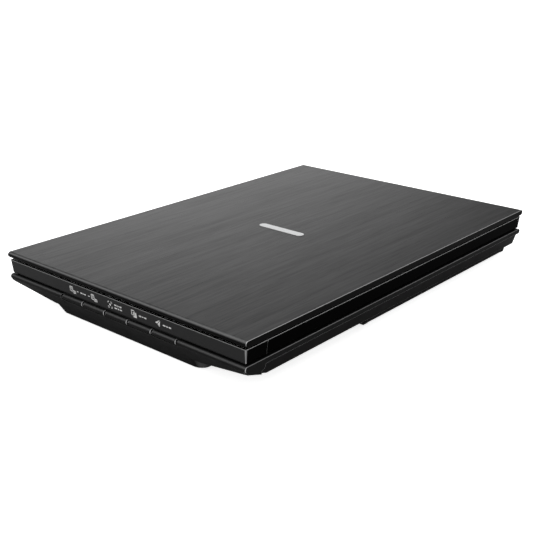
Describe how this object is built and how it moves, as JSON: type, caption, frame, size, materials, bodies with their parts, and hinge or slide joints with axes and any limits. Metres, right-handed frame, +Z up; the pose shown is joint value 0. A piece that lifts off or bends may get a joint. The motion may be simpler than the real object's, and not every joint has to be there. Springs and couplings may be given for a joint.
{
  "type": "flatbed scanner",
  "caption": "Slim A4 flatbed scanner with a lifting hinged lid, a contact sensor carriage under the glass, front buttons and a fold-out stand.",
  "frame": {"origin": "centre of the outline, on the plane that the feet stand on", "axes": "+Z up, +X to the right, -Y towards the front with the buttons"},
  "size_m": [0.25, 0.367, 0.0423],
  "materials": {
    "lid_plastic": "dark graphite with a fine brushed grain along the length",
    "trim_plastic": "satin black",
    "case_plastic": "satin black",
    "frame_gloss": "polished black",
    "inner_plastic": "fine-textured black",
    "badge_metal": "satin silver",
    "glass": "clear, flat",
    "white_sheet": "white",
    "foam": "closed-cell foam",
    "tape": "black adhesive tape",
    "steel": "bright",
    "socket_metal": "nickel plated",
    "circuit_board": "green solder mask",
    "chip": "moulded black",
    "gear_plastic": "natural acetal",
    "brass": "machined",
    "bush_plastic": "natural acetal",
    "clear_plastic": "clear",
    "lamp": "milky",
    "rubber": "matt black",
    "cable_film": "white film"
  },
  "bodies": {
    "base": {"lower_case": "case_plastic", "upper_frame": "frame_gloss", "front_trim": "trim_plastic", "platen_glass": "glass", "glass_tape": "tape", "calibration_strip": "white_sheet", "guide_rod": "steel", "rod_clamps": "inner_plastic", "drive_rack": "gear_plastic", "main_board": "circuit_board", "board_chips": "chip", "board_screws": "steel", "usb_socket": "socket_metal", "button_board": "circuit_board", "button_switches": "chip", "cable_run": "cable_film", "case_screws": "steel", "front_feet": "rubber", "rear_feet": "rubber", "stand_pins": "steel"},
    "hinge_posts": {"hinge_post_left": "inner_plastic", "hinge_post_right": "inner_plastic", "hinge_pins": "steel"},
    "lid": {"lid_cover": "lid_plastic", "lid_inner_panel": "inner_plastic", "foam_pad": "foam", "backing_sheet": "white_sheet", "badge_plate": "badge_metal", "lid_hinge_brackets": "inner_plastic", "lid_screws": "steel", "lid_bumpers": "rubber"},
    "carriage": {"carriage_frame": "inner_plastic", "rod_bushes": "bush_plastic", "sensor_housing": "inner_plastic", "sensor_window": "glass", "light_guide": "clear_plastic", "light_unit": "lamp", "lens_array": "clear_plastic", "sensor_board": "circuit_board", "sensor_springs": "steel", "glass_spacers": "gear_plastic", "drive_motor": "steel", "gear_axle": "steel", "cable_tail": "cable_film"},
    "drive_gears": {"compound_gear": "gear_plastic"},
    "motor_rotor": {"motor_pinion": "brass", "motor_shaft": "steel"},
    "stand": {"stand_leaf": "inner_plastic", "stand_pads": "rubber"},
    "button_1": {"button_1": "case_plastic"},
    "button_2": {"button_2": "case_plastic"},
    "button_3": {"button_3": "case_plastic"},
    "button_4": {"button_4": "case_plastic"},
    "button_5": {"button_5": "case_plastic"}
  },
  "joints": [
    {"name": "lid_lift", "type": "slide", "parent": "base", "child": "hinge_posts", "axis": [0, 0, 1], "range_m": [0, 0.0125]},
    {"name": "lid_hinge", "type": "hinge", "parent": "hinge_posts", "child": "lid", "pos_m": [0, 0.181, 0.0338], "axis": [-1, 0, 0], "range_deg": [0, 105]},
    {"name": "carriage_slide", "type": "slide", "parent": "base", "child": "carriage", "axis": [0, 1, 0], "range_m": [0, 0.298]},
    {"name": "drive_gear_spin", "type": "hinge", "parent": "carriage", "child": "drive_gears", "pos_m": [0.02967, -0.1445, 0.009], "axis": [0, 0, 1], "continuous": true},
    {"name": "motor_spin", "type": "hinge", "parent": "carriage", "child": "motor_rotor", "pos_m": [0.03809, -0.132, 0.012], "axis": [0, 0, 1], "continuous": true},
    {"name": "stand_hinge", "type": "hinge", "parent": "base", "child": "stand", "pos_m": [0.113, 0.06375, 0.0061], "axis": [0, -1, 0], "range_deg": [0, 90]},
    {"name": "button_1_press", "type": "slide", "parent": "base", "child": "button_1", "axis": [0, 1, 0], "range_m": [0, 0.0008], "stiffness_N_per_m": 600, "springref_m": -0.0003},
    {"name": "button_2_press", "type": "slide", "parent": "base", "child": "button_2", "axis": [0, 1, 0], "range_m": [0, 0.0008], "stiffness_N_per_m": 600, "springref_m": -0.0003},
    {"name": "button_3_press", "type": "slide", "parent": "base", "child": "button_3", "axis": [0, 1, 0], "range_m": [0, 0.0008], "stiffness_N_per_m": 600, "springref_m": -0.0003},
    {"name": "button_4_press", "type": "slide", "parent": "base", "child": "button_4", "axis": [0, 1, 0], "range_m": [0, 0.0008], "stiffness_N_per_m": 600, "springref_m": -0.0003},
    {"name": "button_5_press", "type": "slide", "parent": "base", "child": "button_5", "axis": [0, 1, 0], "range_m": [0, 0.0008], "stiffness_N_per_m": 600, "springref_m": -0.0003}
  ],
  "couplings": [
    {"joint": "drive_gear_spin", "follows": "carriage_slide", "rad_per_m": 178.57},
    {"joint": "motor_spin", "follows": "carriage_slide", "rad_per_m": -714.29}
  ]
}
